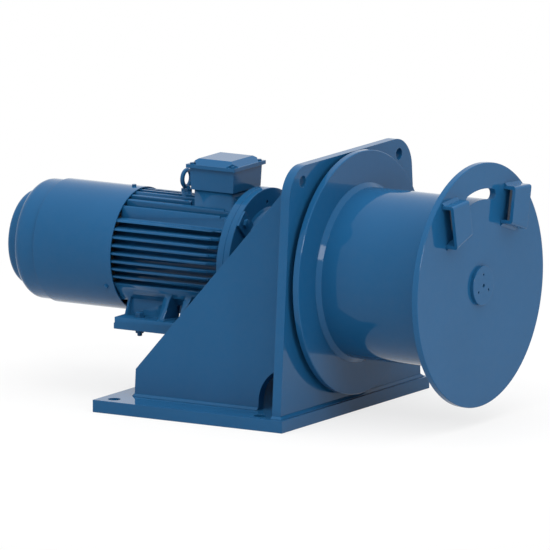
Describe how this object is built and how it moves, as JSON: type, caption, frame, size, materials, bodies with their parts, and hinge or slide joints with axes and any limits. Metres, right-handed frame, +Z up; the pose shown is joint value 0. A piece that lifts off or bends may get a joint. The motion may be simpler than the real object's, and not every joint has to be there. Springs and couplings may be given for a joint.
{
  "type": "wire rope winch",
  "caption": "Electric wire rope winch: a ribbed flange motor with fan and brake cowl drives a cantilevered rope drum with an outer disc, rope slot and wedge sockets, on a gusseted base.",
  "frame": {"origin": "centre of the base plate's bolt pattern, on the plate's underside", "axes": "+X along the drum axis from the motor to the drum's outer disc, +Y across to the far side, +Z up"},
  "size_m": [1.0815, 0.572, 0.5289],
  "materials": {
    "black_rubber": "matte",
    "blue_paint": "glossy",
    "board_plastic": "matte",
    "cast_iron": "rough",
    "copper_wire": "satin",
    "core_steel": "satin",
    "fan_plastic": "matte",
    "friction_lining": "matte",
    "machined_steel": "satin",
    "rotor_alloy": "satin"
  },
  "bodies": {
    "frame": {"base_plate": "blue_paint", "mounting_plate": "blue_paint", "gusset_near": "blue_paint", "gusset_far": "blue_paint", "frame_welds": "blue_paint", "motor_adapter": "blue_paint", "adapter_screws": "blue_paint", "flange_screws": "blue_paint", "motor_frame": "blue_paint", "drive_end_shield": "blue_paint", "rear_end_shield": "cast_iron", "stator_core": "core_steel", "stator_windings": "copper_wire", "shaft_bearings": "machined_steel", "fan_cowl": "blue_paint", "cowl_rear_cap": "blue_paint", "cowl_screws": "blue_paint", "terminal_box": "blue_paint", "box_gasket": "black_rubber", "box_lid": "blue_paint", "lid_screws": "blue_paint", "terminal_board": "board_plastic", "cable_plugs": "black_rubber", "lifting_eye": "blue_paint", "foot_bolts": "blue_paint", "brake_magnet": "cast_iron", "brake_coil": "copper_wire", "brake_screws": "machined_steel", "spindle": "machined_steel", "spindle_bearings": "machined_steel", "output_carrier": "machined_steel", "output_pins": "machined_steel"},
    "drum": {"drum_barrel": "blue_paint", "inner_flange": "blue_paint", "outer_disc": "blue_paint", "hub_cap": "blue_paint", "rope_sockets": "blue_paint", "ring_gear": "machined_steel", "gear_cover": "machined_steel", "drum_hub": "blue_paint", "bearing_outer_rings": "machined_steel", "hub_seal": "black_rubber", "drum_screws": "machined_steel"},
    "rotor": {"motor_shaft": "machined_steel", "bearing_inner_rings": "machined_steel", "rotor_core": "rotor_alloy", "cooling_fan": "fan_plastic", "brake_disc": "friction_lining", "shaft_coupling": "machined_steel", "input_shaft": "machined_steel"},
    "input_carrier": {"input_carrier": "machined_steel", "input_pins": "machined_steel", "output_sun": "machined_steel"},
    "brake_armature": {"brake_armature": "machined_steel"},
    "output_planet_a": {"output_planet_a": "machined_steel"},
    "output_planet_b": {"output_planet_b": "machined_steel"},
    "output_planet_c": {"output_planet_c": "machined_steel"},
    "input_planet_a": {"input_planet_a": "machined_steel"},
    "input_planet_b": {"input_planet_b": "machined_steel"},
    "input_planet_c": {"input_planet_c": "machined_steel"}
  },
  "joints": [
    {"name": "drum_spin", "type": "hinge", "parent": "frame", "child": "drum", "pos_m": [0.3825, 0, 0.283], "axis": [1, 0, 0], "continuous": true},
    {"name": "rotor_spin", "type": "hinge", "parent": "frame", "child": "rotor", "pos_m": [-0.14, 0, 0.283], "axis": [1, 0, 0], "continuous": true},
    {"name": "input_carrier_spin", "type": "hinge", "parent": "frame", "child": "input_carrier", "pos_m": [0.4165, 0, 0.283], "axis": [1, 0, 0], "continuous": true},
    {"name": "output_planet_a_spin", "type": "hinge", "parent": "frame", "child": "output_planet_a", "pos_m": [0.3715, 0, 0.211], "axis": [1, 0, 0], "continuous": true},
    {"name": "output_planet_b_spin", "type": "hinge", "parent": "frame", "child": "output_planet_b", "pos_m": [0.3715, 0.06235, 0.319], "axis": [1, 0, 0], "continuous": true},
    {"name": "output_planet_c_spin", "type": "hinge", "parent": "frame", "child": "output_planet_c", "pos_m": [0.3715, -0.06235, 0.319], "axis": [1, 0, 0], "continuous": true},
    {"name": "input_planet_a_spin", "type": "hinge", "parent": "input_carrier", "child": "input_planet_a", "pos_m": [0.4385, 0, 0.211], "axis": [1, 0, 0], "continuous": true},
    {"name": "input_planet_b_spin", "type": "hinge", "parent": "input_carrier", "child": "input_planet_b", "pos_m": [0.4385, 0.06235, 0.319], "axis": [1, 0, 0], "continuous": true},
    {"name": "input_planet_c_spin", "type": "hinge", "parent": "input_carrier", "child": "input_planet_c", "pos_m": [0.4385, -0.06235, 0.319], "axis": [1, 0, 0], "continuous": true},
    {"name": "armature_pull", "type": "slide", "parent": "frame", "child": "brake_armature", "axis": [-1, 0, 0], "range_m": [0, 0.0006], "stiffness_N_per_m": 20000, "springref_m": -0.001}
  ],
  "couplings": [
    {"joint": "rotor_spin", "follows": "drum_spin", "ratio": -35},
    {"joint": "input_carrier_spin", "follows": "drum_spin", "ratio": -5},
    {"joint": "output_planet_a_spin", "follows": "drum_spin", "ratio": 2.5},
    {"joint": "output_planet_b_spin", "follows": "drum_spin", "ratio": 2.5},
    {"joint": "output_planet_c_spin", "follows": "drum_spin", "ratio": 2.5},
    {"joint": "input_planet_a_spin", "follows": "drum_spin", "ratio": 15},
    {"joint": "input_planet_b_spin", "follows": "drum_spin", "ratio": 15},
    {"joint": "input_planet_c_spin", "follows": "drum_spin", "ratio": 15}
  ]
}
